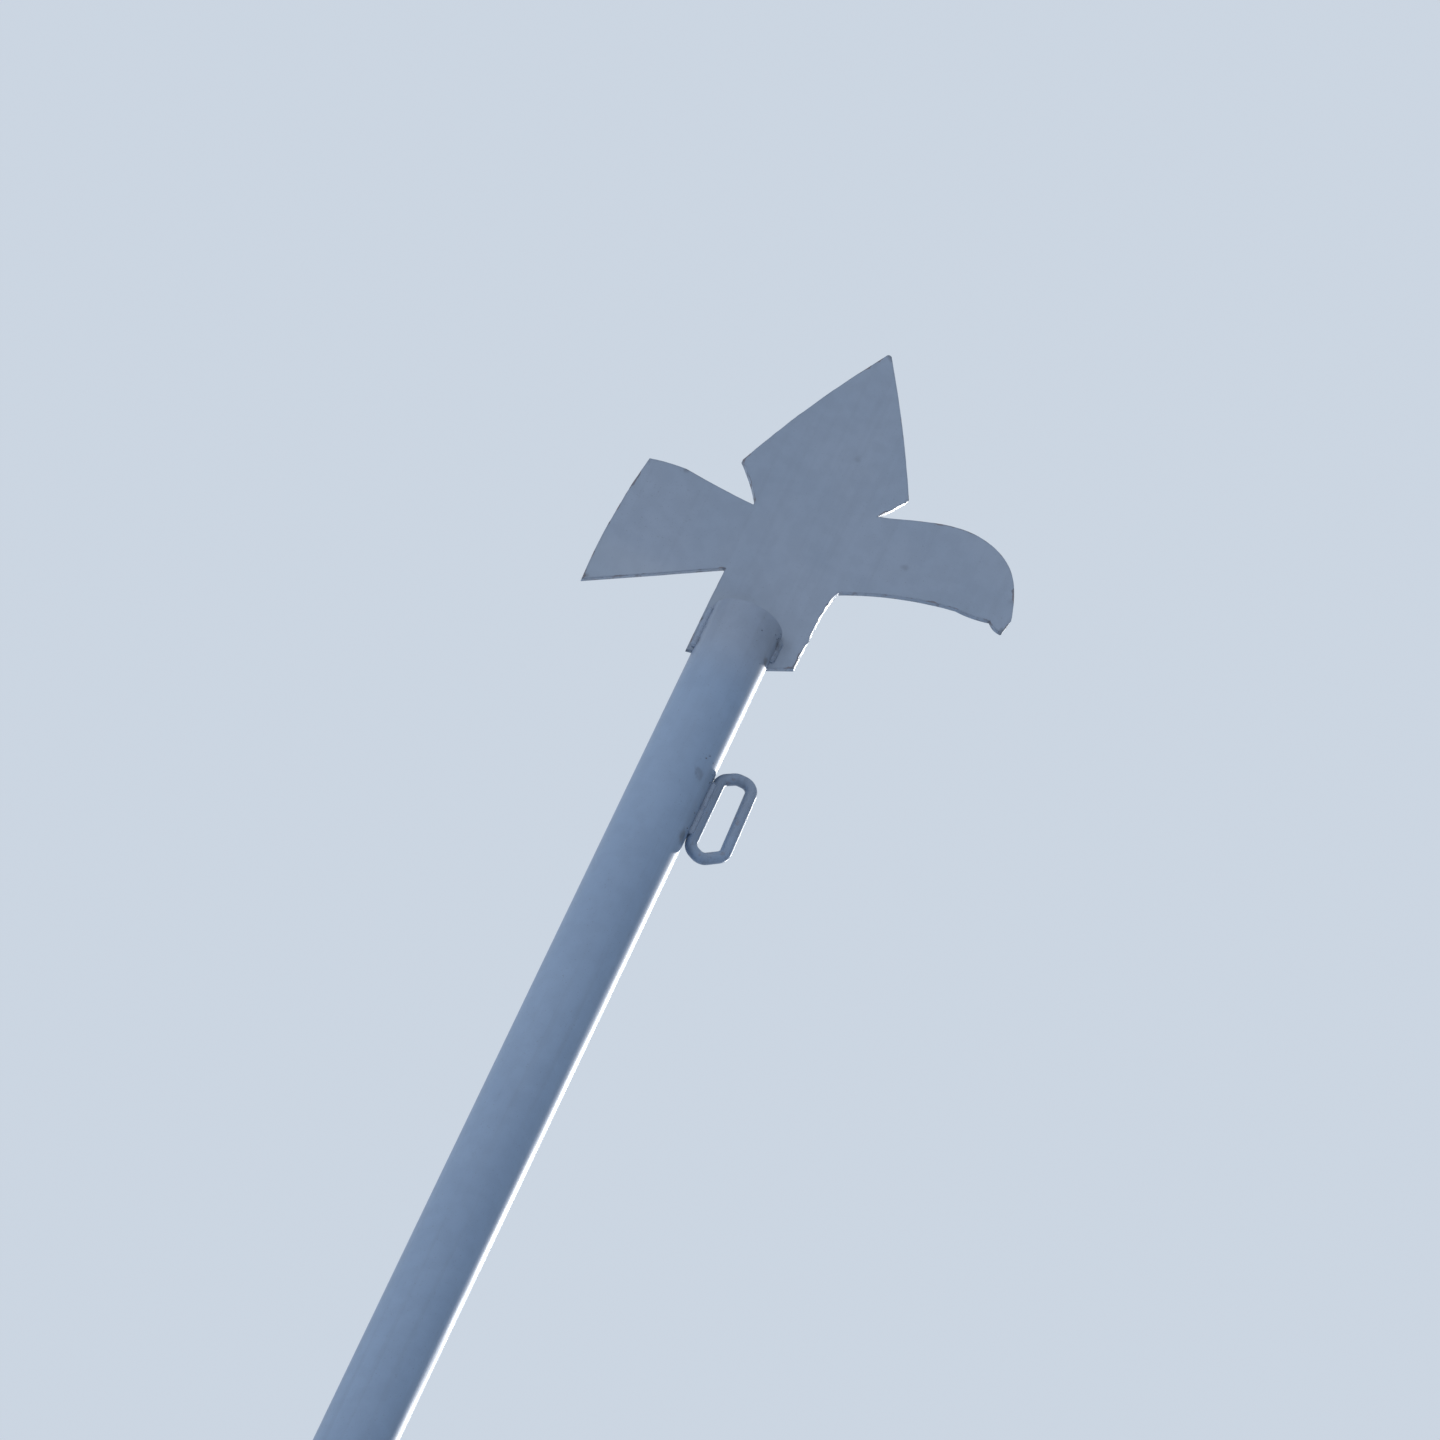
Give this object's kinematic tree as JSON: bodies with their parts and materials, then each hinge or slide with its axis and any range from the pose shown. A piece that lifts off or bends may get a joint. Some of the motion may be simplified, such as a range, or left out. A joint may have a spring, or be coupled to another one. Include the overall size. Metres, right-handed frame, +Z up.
{
  "type": "flagpole with bird finial",
  "caption": "Steel pipe flagpole on a bolted foot plate with ribs, with a cleat, a welded halyard ring and a flat cut-out bird on top.",
  "frame": {"origin": "underside of the foot plate, on the pole's axis", "axes": "+Z up along the pole; +X towards the beak and the halyard ring; the bird lies in the XZ plane"},
  "size_m": [0.3295, 0.24, 6.3015],
  "materials": {
    "pole_paint": "blue-grey paint, weathered",
    "bird_paint": "blue-grey paint, weathered",
    "bar_paint": "dark blue-grey paint, weathered",
    "foot_paint": "blue-grey paint, weathered, rusting at its edges",
    "weld_metal": "painted weld bead, a little rust stained"
  },
  "bodies": {
    "root": {"pole_pipe": "pole_paint", "bird_plate": "bird_paint", "bird_weld_left": "weld_metal", "bird_weld_right": "weld_metal", "top_cap_front": "pole_paint", "top_cap_back": "pole_paint", "halyard_ring": "bar_paint", "ring_weld_upper": "weld_metal", "ring_weld_lower": "weld_metal", "cleat_horn": "bar_paint", "cleat_post_upper": "bar_paint", "cleat_post_lower": "bar_paint", "foot_plate": "foot_paint", "rib_right": "foot_paint", "rib_back": "foot_paint", "rib_left": "foot_paint", "rib_front": "foot_paint", "rib_weld_right": "weld_metal", "rib_weld_back": "weld_metal", "rib_weld_left": "weld_metal", "rib_weld_front": "weld_metal"}
  },
  "joints": []
}
